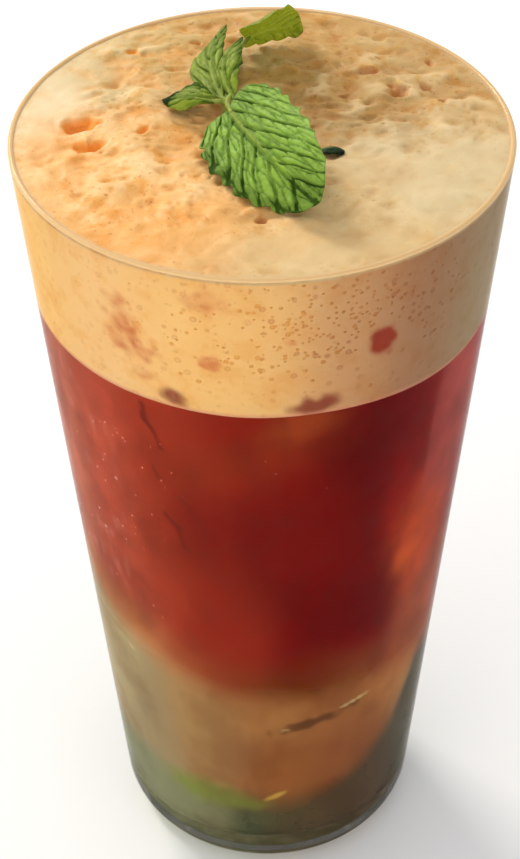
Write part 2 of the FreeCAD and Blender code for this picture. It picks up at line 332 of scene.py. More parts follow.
class Nodes:
    """Short way to build a material's node tree."""

    def __init__(self, name):
        self.material = bpy.data.materials.new(name)
        self.material.use_nodes = True
        self.tree = self.material.node_tree
        self.tree.nodes.clear()
        self.out = self.add("ShaderNodeOutputMaterial")

    def add(self, kind, **settings):
        node = self.tree.nodes.new(kind)
        for key, value in settings.items():
            setattr(node, key, value)
        return node

    def set(self, node, **inputs):
        for key, value in inputs.items():
            socket = node.inputs[int(key[1:])] if key[0] == "i" and key[1:].isdigit() \
                else node.inputs[key.replace("_", " ")]
            if isinstance(value, bpy.types.NodeSocket):
                self.tree.links.new(value, socket)
            else:
                socket.default_value = value
        return node

    def make(self, kind, **inputs):
        """First output of a new node with these inputs set or linked."""
        return self.set(self.add(kind), **inputs).outputs[0]

    def math(self, operation, a, b, clamp=False):
        node = self.add("ShaderNodeMath", operation=operation, use_clamp=clamp)
        return self.set(node, i0=a, i1=b).outputs[0]

    def coord(self):
        return self.add("ShaderNodeTexCoord").outputs["Object"]

    def colour(self, name):
        return self.add("ShaderNodeAttribute", attribute_name=name).outputs["Color"]

    def attribute(self, name):
        return self.add("ShaderNodeAttribute", attribute_name=name).outputs["Fac"]

    def noise(self, scale, detail, rough, vector=None):
        node = self.add("ShaderNodeTexNoise")
        self.set(node, Vector=vector or self.coord(), Scale=scale, Detail=detail,
                 Roughness=rough)
        return node.outputs["Fac"]

    def stretch(self, sx, sy, sz):
        return self.make("ShaderNodeMapping", Vector=self.coord(), Scale=(sx, sy, sz))

    def range(self, value, low, high, to_low=0.0, to_high=1.0):
        node = self.add("ShaderNodeMapRange", interpolation_type="SMOOTHSTEP")
        return self.set(node, i0=value, i1=low, i2=high, i3=to_low, i4=to_high).outputs[0]

    def mix(self, factor, a, b, blend="MIX"):
        node = self.add("ShaderNodeMix", data_type="RGBA", blend_type=blend)
        return self.set(node, i0=factor, i6=a, i7=b).outputs[2]

    def times(self, a, b):
        """Product of two colours."""
        return self.mix(1.0, a, b, "MULTIPLY")

    def mul(self, a, b):
        return self.math("MULTIPLY", a, b)

    def plus(self, a, b):
        return self.math("ADD", a, b)

    def bump(self, height, distance, strength):
        return self.make("ShaderNodeBump", Height=height, Distance=distance, Strength=strength)

    def shader_mix(self, factor, a, b):
        return self.make("ShaderNodeMixShader", i0=factor, i1=a, i2=b)

    def principled(self, **inputs):
        return self.make("ShaderNodeBsdfPrincipled", **inputs)

    def clear_to_light(self, shader, tint):
        """Lets shadow rays through, so what is inside is lit."""
        clear = self.make("ShaderNodeBsdfTransparent", Color=tint)
        ray = self.add("ShaderNodeLightPath").outputs["Is Shadow Ray"]
        return self.shader_mix(ray, shader, clear)

    def finish(self, surface, volume=None):
        self.set(self.out, Surface=surface)
        if volume is not None:
            self.set(self.out, Volume=volume)
        return self.material


# ---- colour fields ----
def turn_of(x, y):
    """Degrees round the glass from the front, positive to the right."""
    return np.degrees(np.arctan2(x, -y))


def blend(patches, u, v, round_glass=True):
    """Linear colours from soft patches (u, v, reach u, reach v, screen colour)."""
    total, weight = np.zeros(np.shape(u) + (3,)), np.zeros(np.shape(u))
    for pu, pv, su, sv, colour in patches:
        du = u - pu
        if round_glass:
            du = (du + 180) % 360 - 180
        w = np.exp(-(du / su) ** 2 - ((v - pv) / sv) ** 2) + 1e-5
        total += w[..., None] * np.array(srgb(*colour)[:3])
        weight += w
    return total / weight[..., None]


def towards(colours, other, share):
    """Colours moved by a share (per point) towards one screen colour."""
    return colours + (np.array(srgb(*other)[:3]) - colours) * np.asarray(share)[..., None]


# ---- materials ----
def glass_material():
    n = Nodes("clear_glass")
    bend = n.make("ShaderNodeBsdfRefraction", Color=(0.97, 0.985, 0.98, 1), Roughness=0.0,
                  IOR=GLASS_IOR)
    mirror = n.make("ShaderNodeBsdfAnisotropic", Color=(1, 1, 1, 1), Roughness=0.0)
    fresnel = n.make("ShaderNodeFresnel", IOR=GLASS_IOR)
    share = n.mul(fresnel, n.range(fresnel, 0.25, 0.8, 0.16, 0.5))
    return n.finish(n.clear_to_light(n.shader_mix(share, bend, mirror),
                                     (0.95, 0.96, 0.955, 1)))


def rim_material():
    """The lip of the glass, wet with foam."""
    n = Nodes("glass_lip")
    clear = n.principled(Base_Color=(0.97, 0.98, 0.97, 1), Roughness=0.02, IOR=GLASS_IOR,
                         Transmission_Weight=1.0)
    cream = n.principled(Base_Color=srgb(238, 196, 138), Roughness=0.5, Specular_IOR_Level=0.12)
    return n.finish(n.shader_mix(0.75, clear, cream))


def painted_drink_foot_material():
    """Underside of the base, painted with the drink's colours that the thick glass would show
    there: a painted reflection, made light to offset the shade under the glass.
    """
    n = Nodes("glass_foot_painted_drink")
    x = n.make("ShaderNodeSeparateXYZ", i0=n.coord())
    cloud = n.noise(120, 3, 0.6)
    colour = n.mix(n.range(n.plus(x, n.mul(cloud, 0.02)), -0.012, 0.028),
                   srgb(192, 194, 148), srgb(158, 130, 90))
    colour = n.mix(n.range(n.noise(260, 3, 0.6), 0.4, 0.62), colour,
                   n.times(colour, srgb(214, 218, 206)))
    # painted reflection of the drink, olive-grey on the left and brown on the right
    dark = n.principled(Base_Color=colour, Roughness=0.5, Specular_IOR_Level=0.2)
    clear = n.principled(Base_Color=(0.9, 0.92, 0.9, 1), Roughness=0.0, IOR=GLASS_IOR,
                         Transmission_Weight=1.0)
    return n.finish(n.shader_mix(0.8, clear, dark))


def foam_material():
    n = Nodes("coffee_foam")
    tint = n.colour("tint")
    broad = n.noise(75, 4, 0.6)
    fine = n.noise(480, 4, 0.6)
    mottle = n.noise(230, 4, 0.65)
    warm = n.mix(n.mul(n.range(mottle, 0.46, 0.66), n.attribute("rough")), tint,
                 n.times(tint, srgb(246, 222, 172)))
    warm = n.mix(n.range(broad, 0.5, 0.75, 0.0, 0.3), warm, n.times(warm, srgb(250, 210, 160)))
    pale = n.mix(n.range(broad, 0.25, 0.45, 0.3, 0.0), warm, n.times(warm, (1.06, 1.2, 1.45, 1)))
    speck = n.mul(n.range(n.noise(1100, 2, 0.5), 0.64, 0.72, 0.0, 0.5), n.attribute("rough"))
    specked = n.mix(speck, pale, n.times(pale, srgb(190, 140, 90)))
    bubbles = n.add("ShaderNodeTexVoronoi", feature="F1")
    n.set(bubbles, Vector=n.coord(), Scale=620.0, Randomness=1.0)
    parts = n.add("ShaderNodeSeparateColor")
    n.set(parts, Color=bubbles.outputs["Color"])
    size = n.plus(0.10, n.mul(parts.outputs[1], 0.26))
    ratio = n.math("DIVIDE", bubbles.outputs["Distance"], size)
    ring = n.mul(n.range(ratio, 0.1, 0.8, 0.35, 1.0), n.range(ratio, 0.8, 1.3, 1.0, 0.0))
    here = n.mul(n.range(parts.outputs[0], 0.5, 0.56), n.attribute("bubbly"))
    ring = n.mul(ring, here)                        # the rim of each small bubble
    colour = n.mix(n.mul(ring, 0.7), specked, n.times(specked, srgb(206, 146, 104)))
    dimple = n.mul(n.range(ratio, 0.3, 1.1, -1.0, 0.0), here)
    height = n.plus(n.mul(fine, 0.7), n.mul(dimple, 0.5))
    return n.finish(n.principled(
        Base_Color=colour, Roughness=n.range(fine, 0.3, 0.7, 0.5, 0.75),
        Specular_IOR_Level=0.3, Normal=n.bump(height, 0.0004, 0.55),
        Subsurface_Weight=0.15, Subsurface_Radius=(0.002, 0.0015, 0.001),
        Subsurface_Scale=0.5))


def liquid_material(name, share_scale, absorb, density, rough):
    """Clear coloured liquid behind a painted, milky haze given by the mesh."""
    n = Nodes(name)
    clear = n.clear_to_light(n.make("ShaderNodeBsdfRefraction", Color=(1, 1, 1, 1),
                                    Roughness=rough, IOR=DRINK_IOR), (1, 1, 1, 1))
    cloud = n.noise(85, 4, 0.55, n.stretch(1.0, 1.0, 0.8))
    wisp = n.noise(240, 3, 0.5, n.stretch(1.0, 1.0, 0.5))
    tint = n.colour("tint")
    deep = n.times(tint, (0.80, 0.72, 0.68, 1))
    colour = n.mix(n.range(cloud, 0.36, 0.60), deep, tint)
    colour = n.mix(n.range(wisp, 0.52, 0.75, 0.0, 0.25), colour,
                   n.times(tint, (1.25, 1.20, 1.15, 1)))
    haze = n.principled(Base_Color=colour, Roughness=0.5, Specular_IOR_Level=0.0)
    thin = n.range(cloud, 0.3, 0.7, share_scale, 1.0)
    share = n.math("MULTIPLY", n.attribute("haze"), thin, True)
    volume = n.make("ShaderNodeVolumeAbsorption", Color=absorb, Density=density)
    return n.finish(n.shader_mix(share, clear, haze), volume)


def leaf_material(name, bright, deep, glow, thin=0.3):
    n = Nodes(name)
    puff, rib = n.attribute("puff"), n.attribute("rib")
    patch = n.noise(190, 4, 0.6)
    fine = n.noise(900, 3, 0.6)
    # colour follows the relief: painted shade in the vein grooves and painted highlight on the
    # puffs, less the painted shading
    level = n.plus(puff, n.mul(patch, 0.6))
    level = n.plus(level, n.mul(fine, 0.25))
    level = n.math("SUBTRACT", level, n.mul(n.attribute("painted_shading"), 0.65))
    upper = n.mix(n.range(level, 0.75, 1.5), n.mix(0.5, deep, bright), bright)
    colour = n.mix(n.range(level, 0.25, 0.75), deep, upper)
    colour = n.mix(n.range(patch, 0.55, 0.72, 0.0, 0.35), colour,
                   n.times(colour, (1.25, 1.12, 0.7, 1)))
    colour = n.mix(n.mul(rib, 0.7), colour, srgb(176, 192, 92))
    # near black where the painted shading is deepest, at the left leaf's tip
    colour = n.mix(n.range(n.attribute("painted_shading"), 1.0, 1.8), colour, srgb(16, 38, 10))
    height = n.plus(n.mul(fine, 1.3), n.mul(n.noise(2200, 2, 0.5), 0.4))
    surface = n.principled(Base_Color=colour, Roughness=n.range(level, 0.3, 1.2, 0.75, 0.42),
                           Specular_IOR_Level=0.16, Normal=n.bump(height, 0.00025, 0.6))
    through = n.make("ShaderNodeBsdfTranslucent", Color=glow)
    return n.finish(n.shader_mix(thin, surface, through))


def stem_material():
    n = Nodes("mint_stem")
    colour = n.mix(n.range(n.noise(300, 3, 0.6), 0.3, 0.7), srgb(104, 112, 36), srgb(154, 168, 76))
    return n.finish(n.principled(Base_Color=colour, Roughness=0.6, Specular_IOR_Level=0.15))


# ---- mint ----
def bow(leaf, x):
    t = np.maximum(0.0, x / leaf["length"])
    return leaf["bend"] * leaf["length"] * 4 * t * (1 - t)


def blade(leaf, x, y):
    """Height of the smooth upper face over the leaf's own plane."""
    t = x / leaf["length"]
    off = y - bow(leaf, x)
    droop = np.where(off > 0, leaf["droop"][0] / leaf["width"][0],
                     leaf["droop"][1] / leaf["width"][1])
    return leaf["arch"] * leaf["length"] * np.sin(math.pi * t) - droop * off * off \
        + leaf["twist"] * off * t


def veins(leaf, t, off, seed):
    """Relief (0 in the veins, about 1 on the puffs) and how much of the midrib is there."""
    a = np.abs(off)
    reach = a / leaf["length"]
    left = off > 0
    side = np.where(left, 0.0, 0.45)
    sweep = np.where(left, 2.3 * reach + 1.6 * reach ** 2, 1.15 * reach + 1.4 * reach ** 2)
    wander = 0.28 * soft_noise(t * 5 + side * 9, reach * 10, 1.0, seed)
    vein = np.where(left, 0.8, 1.0) * leaf["veins"] * (t - sweep) + side + wander
    main = np.abs(vein - np.floor(vein) - 0.5) * 2            # 1 on a side vein, 0 between
    shift = 0.4 * soft_noise(t * 9, a, 1.5, 2)
    near, far, mark = cells(vein * 1.3 + side * 31, a * np.where(left, 0.85, 0.7) + shift,
                            1.0, seed + 5)
    puff = 1 - (1 - unit((far - near) / 0.34)) ** 2
    puff = (0.52 + 0.48 * puff) * (0.8 + 0.2 * mark) * (1 - 0.3 * near ** 2)
    broken = 0.95 + 0.5 * soft_noise(t * leaf["length"], a, 2.4, seed + 6)
    puff = puff * (1 - smooth((main - 0.72) / 0.24) * np.clip(broken, 0.15, 1))
    rib = np.exp(-(a / (0.30 * (1 - 0.8 * unit(t)))) ** 2) * smooth((0.75 - t) / 0.5)
    groove = np.exp(-((off + 0.55) / 0.34) ** 2) + 0.5 * np.exp(-((off - 0.6) / 0.3) ** 2)
    fine = 0.10 * soft_noise(t * leaf["length"], off, 0.45, seed + 9) \
        + 0.15 * soft_noise(t * leaf["length"], off, 0.95, seed + 8)
    return puff * (1 - 0.8 * np.minimum(groove, 1)) * (1 - rib) + fine, rib


def leaf_turn(leaf):
    """Rotation from the leaf's own axes to the drink's."""
    heading, pitch, roll = (math.radians(leaf[key]) for key in ("heading", "pitch", "roll"))
    return Matrix.Rotation(heading, 3, "Z") @ Matrix.Rotation(-pitch, 3, "Y") \
        @ Matrix.Rotation(roll, 3, "X")


def leaf_grid(leaf, along, across, seed, crown):
    """Points of a leaf (upper and lower face), its puff and vein amounts, and its painted shading.
    """
    base, tip = leaf["blunt"]
    widest = base / (base + tip)
    peak = widest ** base * (1 - widest) ** tip
    u = 0.5 - 0.5 * np.cos(math.pi * np.linspace(0.0, 1.0, along))
    v = np.linspace(-1, 1, across)
    U, W = np.meshgrid(u, v, indexing="ij")
    side = (W < 0).astype(int)
    width = np.array(leaf["width"])[side]
    saw = (U * leaf["teeth"]) % 1.0
    ragged = 0.05 * soft_noise(U * leaf["length"], W * 0 + side * 7.0, 0.9, seed + 3)
    tooth = 1 + leaf["tooth"] * (np.sin(math.pi * saw) - 0.5) * np.where(W > 0, 0.35, 1.0) \
        + np.where(W > 0, 0.8, 1.3) * ragged
    wide = (0.3 + width * U ** base * (1 - U) ** tip / peak) * tooth
    x = leaf["length"] * U - np.array(leaf["lobe"])[side] * wide * np.abs(W) * (1 - U) ** 2
    off = wide * W
    y = bow(leaf, x) + off
    puff, rib = veins(leaf, x / leaf["length"], off, seed)
    fade = np.minimum(1, 8 * U) * np.minimum(1, 8 * (1 - U)) * (1 - np.abs(W) ** 6)
    curl = 0.35 * np.abs(W) ** 5 * soft_noise(x, side * 5.0, 2.2, seed + 4)
    z = blade(leaf, x, y) + leaf["quilt"] * fade * (puff + 0.5 * rib - 0.6) + curl
    thick = LEAF_THICK * (1 - 0.5 * np.abs(W) ** 4)
    turn = np.array(leaf_turn(leaf))
    at = np.array([leaf["at"][0], leaf["at"][1], leaf["at"][2] + crown])
    upper = np.stack([x, y, z], -1).reshape(-1, 3) @ turn.T + at
    relief = leaf["quilt"] * fade * (puff + 0.5 * rib)
    # painted shade on the slopes of the relief that face away from the light
    du, dv = np.gradient(relief)
    su = np.hypot(np.gradient(x)[0], np.gradient(y)[0]) + 0.02
    sv = np.hypot(np.gradient(x)[1], np.gradient(y)[1]) + 0.02
    slope_shade = np.clip(0.9 * du / su - 0.9 * dv / sv, -0.5, 1.0)
    lower = np.stack([x, y, z - thick], -1).reshape(-1, 3) @ turn.T + at
    # painted shading: darker at the drooping lower edge, towards the tip, on one side near the
    # base, on slopes away from the light and at the left leaf's tip; lighter on the upper right
    # half
    painted_shading = 1.2 * smooth((np.abs(W) - 0.6) / 0.36) * (W < 0) * smooth((U - 0.1) / 0.2) \
        + 0.6 * smooth((U - 0.66) / 0.3)
    painted_shading = painted_shading + 0.35 * (W > 0) * smooth((0.35 - U) / 0.3) + 0.45 * slope_shade
    painted_shading = np.clip(painted_shading, -0.3, 1) + leaf.get("dark", 0.0) * smooth((U - 0.78) / 0.16)
    painted_shading = painted_shading - 0.35 * smooth((W - 0.3) / 0.5) * smooth((U - 0.3) / 0.4)
    return upper, lower, puff.ravel(), rib.ravel(), np.clip(painted_shading, -0.3, 2).ravel()


def leaf_piece(name, leaf, material, nodes, along, across, seed, crown=CROWN_Z):
    upper, lower, puff, rib, painted_shading = leaf_grid(leaf, along, across, seed, crown)
    n = along * across
    faces = []
    for i in range(along - 1):
        for j in range(across - 1):
            a, b = i * across + j, (i + 1) * across + j
            faces.append((a, b, b + 1, a + 1))
            faces.append((n + a, n + a + 1, n + b + 1, n + b))
    for i in range(along - 1):
        a, b = i * across, (i + 1) * across
        faces.append((a, n + a, n + b, b))
        a, b = a + across - 1, b + across - 1
        faces.append((a, b, n + b, n + a))
    for j in range(across - 1):
        a, b = j, (along - 1) * across + j
        faces.append((a, a + 1, n + a + 1, n + a))
        faces.append((b, n + b, n + b + 1, b + 1))
    return add_object(name, np.concatenate([upper, lower]), faces, [material],
                      nodes, {"puff": np.tile(puff, 2), "rib": np.tile(rib, 2),
                              "painted_shading": np.tile(painted_shading, 2)})


def tube(name, points, radii, material):
    """Round tube through the points (mm), with a radius at each, closed at both ends."""
    points = [Vector(p) for p in points]
    path = []
    for i in range(len(points) - 1):
        p0, p1 = points[max(i - 1, 0)], points[i]
        p2, p3 = points[i + 1], points[min(i + 2, len(points) - 1)]
        for k in range(6):
            t = k / 6
            path.append((0.5 * (2 * p1 + (p2 - p0) * t + (2 * p0 - 5 * p1 + 4 * p2 - p3) * t * t
                                + (3 * p1 - p0 - 3 * p2 + p3) * t ** 3),
                         radii[i] + (radii[i + 1] - radii[i]) * t))
    path.append((points[-1], radii[-1]))
    verts = []
    for i, (p, r) in enumerate(path):
        along = path[min(i + 1, len(path) - 1)][0] - path[max(i - 1, 0)][0]
        turn = along.to_track_quat("Z", "Y")
        for k in range(TUBE_SIDES):
            a = 2 * math.pi * k / TUBE_SIDES
            verts.append(p + turn @ Vector((r * math.cos(a), r * math.sin(a), 0)))
    verts += [path[0][0], path[-1][0]]
    n = len(path) * TUBE_SIDES
    return add_object(name, [tuple(v) for v in verts],
                      ring_faces(len(path), TUBE_SIDES, n, n + 1), [material])


def leaf_base(leaf, crown):
    """Where the stalk ends, just under the leaf's upper face."""
    x, y = STALK_END, bow(leaf, STALK_END)
    local = Vector((x, float(y), float(blade(leaf, x, y)) - 0.2))
    return Vector(leaf["at"]) + Vector((0, 0, crown)) + leaf_turn(leaf) @ local


def build_mint():
    green = leaf_material("mint_front", srgb(156, 196, 76), srgb(50, 80, 6), srgb(120, 160, 16))
    young = leaf_material("mint_young", srgb(154, 174, 54), srgb(56, 86, 6), srgb(150, 180, 14))
    lit = leaf_material("mint_backlit", srgb(166, 184, 70), srgb(108, 128, 34),
                        srgb(206, 212, 60), 0.45)
    dark = leaf_material("mint_dark", srgb(60, 90, 40), srgb(16, 34, 20), srgb(40, 60, 20))
    looks = {"front": green, "left": young, "mid_left": young, "mid_right": young, "back": lit}
    for i, (name, leaf) in enumerate(LEAVES.items()):
        big = name == "front"
        along, across = (210, 121) if big else (110, 45)
        leaf_piece("mint_" + name, leaf, looks[name], ("mint_sprig",) if big else (),
                   along, across, 11 + 3 * i)
    leaf_piece("mint_tip_leaf", TIP, dark, ("mint_tip",), 40, 25, 5,
               float(foam_top(np.array(TIP["at"][0]), np.array(TIP["at"][1]))))
    stem = stem_material()
    joint = Vector((JOINT[0], JOINT[1], JOINT[2] + CROWN_Z))
    foot = joint + Vector((-0.4, 1.2, -JOINT[2] - STEM_SUNK))
    middle = (foot + joint) / 2 + Vector((0.2, 0, 0))
    tube("mint_stem", [foot, middle, joint + Vector((0, 0, 0.4))],
         [STEM_R, STEM_R * 0.8, STEM_R * 0.7], stem)
    for name, leaf in LEAVES.items():
        base = leaf_base(leaf, CROWN_Z)
        route = [joint, (joint + base) / 2 + Vector((0, 0, 0.1)), base]
        if name == "back":
            route[1:2] = [Vector((x, y, z + CROWN_Z)) for x, y, z in BACK_STALK]
        tube("mint_stalk_" + name, route, [STALK_R * 0.8] * (len(route) - 1) + [STALK_R * 0.6],
             stem)


# ---- drink ----
def blob(x, y, cx, cy, rx, ry):
    return np.exp(-((x - cx) / rx) ** 2 - ((y - cy) / ry) ** 2)


def calm_patch(x, y):
    """1 where the foam is smooth cream, 0 where it is bubbly."""
    calm = blob(x, y, 27, -14, 17, 15) + blob(x, y, 4, -33, 26, 7) + blob(x, y, -33, 10, 7, 20)
    return unit(calm + 0.25 * soft_noise(x, y, 6.0, 3))


def pit_reach(x, y, fx, fy, radius):
    """Distance from a popped bubble's middle, 1 at its uneven edge."""
    wx, wy = x + 1.0 * soft_noise(x, y, 2.1, 61), y + 0.9 * soft_noise(x, y, 2.1, 62)
    return np.hypot((wx - fx * RIM_R) / 1.25, (wy - fy * RIM_R) * 1.1) / radius


def pit_amount(x, y):
    """How deep each point lies in one of the popped bubbles, 0 to 1."""
    amount = np.zeros(np.shape(x))
    for fx, fy, radius, depth in PITS:
        d = pit_reach(x, y, fx, fy, radius)
        amount = np.maximum(amount, smooth((1.2 - d) / 0.45) * (0.6 + 0.4 * depth))
    return amount


def froth(x, y):
    """Fine relief of the foam in mm, over its broad lumps."""
    rough = 1.25 - 1.1 * calm_patch(x, y)
    wx, wy = x + 1.6 * soft_noise(x, y, 5.0, 21), y + 1.6 * soft_noise(x, y, 5.0, 22)
    lumps = 0.34 * soft_noise(wx, wy * 1.25, 4.6, 51) + 0.20 * soft_noise(wx, wy * 1.2, 2.5, 52)
    near, _, mark = cells(wx, wy * 1.3, 4.2, 31)
    dents = -0.50 * smooth(1 - near / 0.55) * (mark > 0.52)
    near, _, mark = cells(wx, wy * 1.2, 1.9, 41)
    holes = -0.22 * smooth(1 - near / 0.42) * (mark > 0.62)
    grain = 0.07 * soft_noise(x, y, 1.0, 53)
    return rough * (lumps + dents + holes + grain) + 0.05 * soft_noise(x, y, 1.3, 54)


def fine_foam_top(x, y):
    inside = 1 - np.minimum(1, np.hypot(x, y) / (RIM_R - 0.8)) ** 16
    pits = sum(-1.5 * r * d * smooth((1.15 - pit_reach(x, y, fx, fy, r)) / 0.7)
               for fx, fy, r, d in PITS)
    return foam_top(x, y) + inside * (froth(x, y) + pits)


FOAM_TOP = (                 # x, y mm, reach, colour: cream margins, brown dented parts, and painted light from the left, lighter on the left
    (-35, 12, 8, 13, (228, 208, 168)), (-27, 19, 9, 9, (204, 176, 122)),
    (-17, 20, 10, 10, (196, 162, 98)), (3, 24, 12, 9, (196, 152, 84)),
    (12, 10, 9, 9, (172, 134, 72)), (27, 20, 11, 12, (196, 160, 102)),
    (22, -12, 11, 10, (216, 192, 146)), (8, -33, 16, 6, (216, 184, 130)),
    (-22, -14, 11, 10, (236, 184, 116)), (-30, -3, 7, 8, (240, 178, 106)),
    (-15, -27, 11, 8, (236, 170, 90)), (-12, 0, 9, 9, (222, 172, 104)),
    (8, -17, 9, 8, (220, 182, 122)),
)
FOAM_WALL = (                # degrees from the front, height mm, reach, colour; with painted light from the left, bright on the left and darker to the right
    (-75, 134, 22, 30, (255, 202, 108)), (-43, 132, 18, 30, (252, 206, 144)),
    (-18, 134, 14, 30, (250, 200, 124)), (0, 134, 12, 30, (244, 196, 126)),
    (19, 134, 12, 30, (212, 160, 110)), (40, 135, 13, 30, (178, 126, 88)),
    (62, 136, 16, 30, (176, 152, 116)), (110, 135, 30, 40, (205, 165, 115)),
    (180, 135, 45, 40, (226, 178, 118)), (-120, 135, 30, 40, (240, 190, 120)),
)
# Painted light in the red: lighter brick red on the lit left, dark in the thick middle, bright at
# the thin right edge and in an orange glow.
ESPRESSO_WALL = (
    (-66, 100, 10, 24, (208, 118, 90)), (-48, 100, 11, 26, (206, 90, 62)),
    (-20, 94, 7, 9, (128, 16, 6)), (40, 94, 5, 8, (172, 20, 6)),
    (-28, 112, 12, 16, (184, 62, 34)), (-45, 76, 10, 12, (180, 76, 48)),
    (-30, 82, 10, 12, (178, 58, 30)), (-4, 112, 14, 10, (150, 30, 10)),
    (8, 96, 16, 16, (130, 12, 6)), (-12, 74, 10, 10, (160, 40, 18)),
    (29, 112, 12, 16, (108, 0, 2)), (24, 72, 14, 12, (124, 4, 4)),
    (45, 110, 8, 16, (142, 12, 8)), (60, 106, 9, 20, (200, 84, 66)),
    (53, 82, 8, 10, (236, 90, 46)), (60, 64, 10, 10, (196, 96, 62)),
    (110, 90, 30, 40, (160, 48, 30)), (180, 90, 45, 40, (128, 30, 16)),
    (-120, 90, 30, 40, (184, 72, 46)),
)
SODA_WALL = (
    (-60, 48, 11, 14, (194, 174, 128)), (-46, 38, 11, 12, (172, 148, 108)),
    (-24, 44, 12, 8, (186, 144, 90)), (0, 44, 14, 8, (178, 118, 64)),
    (26, 46, 12, 8, (172, 106, 56)), (45, 48, 9, 7, (208, 138, 76)),
    (-20, 34, 12, 7, (176, 132, 82)), (4, 32, 13, 7, (160, 96, 48)),
    (30, 34, 11, 7, (158, 92, 52)), (110, 36, 30, 26, (150, 126, 88)),
    (180, 36, 45, 26, (160, 122, 78)), (-120, 36, 30, 26, (178, 152, 108)),
)
SODA_LOW = (
    (-60, 16, 16, 12, (150, 152, 116)), (-30, 12, 14, 10, (142, 142, 104)),
    (-6, 10, 8, 8, (78, 86, 56)), (6, 14, 10, 8, (92, 78, 50)),
    (28, 14, 14, 12, (92, 72, 48)), (48, 16, 10, 10, (98, 76, 58)),
    (62, 32, 10, 16, (96, 90, 70)), (110, 18, 30, 20, (96, 92, 70)),
    (180, 16, 45, 20, (92, 84, 60)), (-120, 18, 30, 20, (120, 120, 90)),
)


def wall_spot(x, y, z, turn, height, across, tall, lean, seed, soft=0.5, uneven=0.22):
    """Uneven spot on the wall: azimuth in degrees from the front, height and size in mm."""
    a = np.radians((turn_of(x, y) - turn + 180) % 360 - 180)
    s, t = a * SPOT_R, z - height
    s, t = s * math.cos(lean) + t * math.sin(lean), t * math.cos(lean) - s * math.sin(lean)
    d = np.hypot(s / across, t / tall) + uneven * soft_noise(s + 9, t, 1.6, 60 + seed)
    return smooth((1 + soft / 2 - d) / soft) * (np.hypot(x, y) > CORE_R)


def wall_noise(x, y, z, pitch, seed):
    """Noise on the wall that does not repeat at the back."""
    return soft_noise(np.radians(turn_of(x, y)) * NOISE_R, z, pitch, seed)


def wall_crack(x, y, z, points, thick, seed):
    """Thin uneven line on the wall through (degrees, height) points."""
    s, t = np.radians(turn_of(x, y)) * NOISE_R, z
    s = s + 0.5 * soft_noise(s, t, 3.0, 80 + seed) + 0.3 * soft_noise(s, t, 1.1, 81 + seed)
    near = np.full(np.shape(s), 99.0)
    for (a0, z0), (a1, z1) in zip(points, points[1:]):
        s0, s1 = math.radians(a0) * NOISE_R, math.radians(a1) * NOISE_R
        k = unit(((s - s0) * (s1 - s0) + (t - z0) * (z1 - z0))
                 / ((s1 - s0) ** 2 + (z1 - z0) ** 2))
        near = np.minimum(near, np.hypot(s - s0 - k * (s1 - s0), t - z0 - k * (z1 - z0)))
    return smooth(1.4 - near / thick) * (np.hypot(x, y) > CORE_R + 2)


def seen_edge(turn):
    """Height where red turns to tan on the wall, in mm, for degrees from the front."""
    left = 11.0 * (np.clip(-turn - 15, 0, 60) / 52) ** 1.3
    right = 6.0 * (np.clip(turn - 20, 0, 60) / 45) ** 1.3
    back = smooth((np.abs(turn) - 80) / 40)
    return 51.6 - 1.6 * np.exp(-((turn - 2) / 22) ** 2) + (left - right) * (1 - back)


CRACKS = (                   # (degrees, height) points, thickness mm, strength
    (((-31.4, 119), (-30.8, 115.6), (-28.9, 113.6), (-27, 110)), 0.45, 1.0),
    (((-29.6, 105.4), (-28.3, 102.6)), 0.45, 0.8),
    (((-28.3, 95), (-24.8, 92.3), (-22.5, 87.6)), 0.45, 1.0),
    (((-23, 99.8), (-17.5, 94), (-16, 91)), 0.4, 0.6),
)


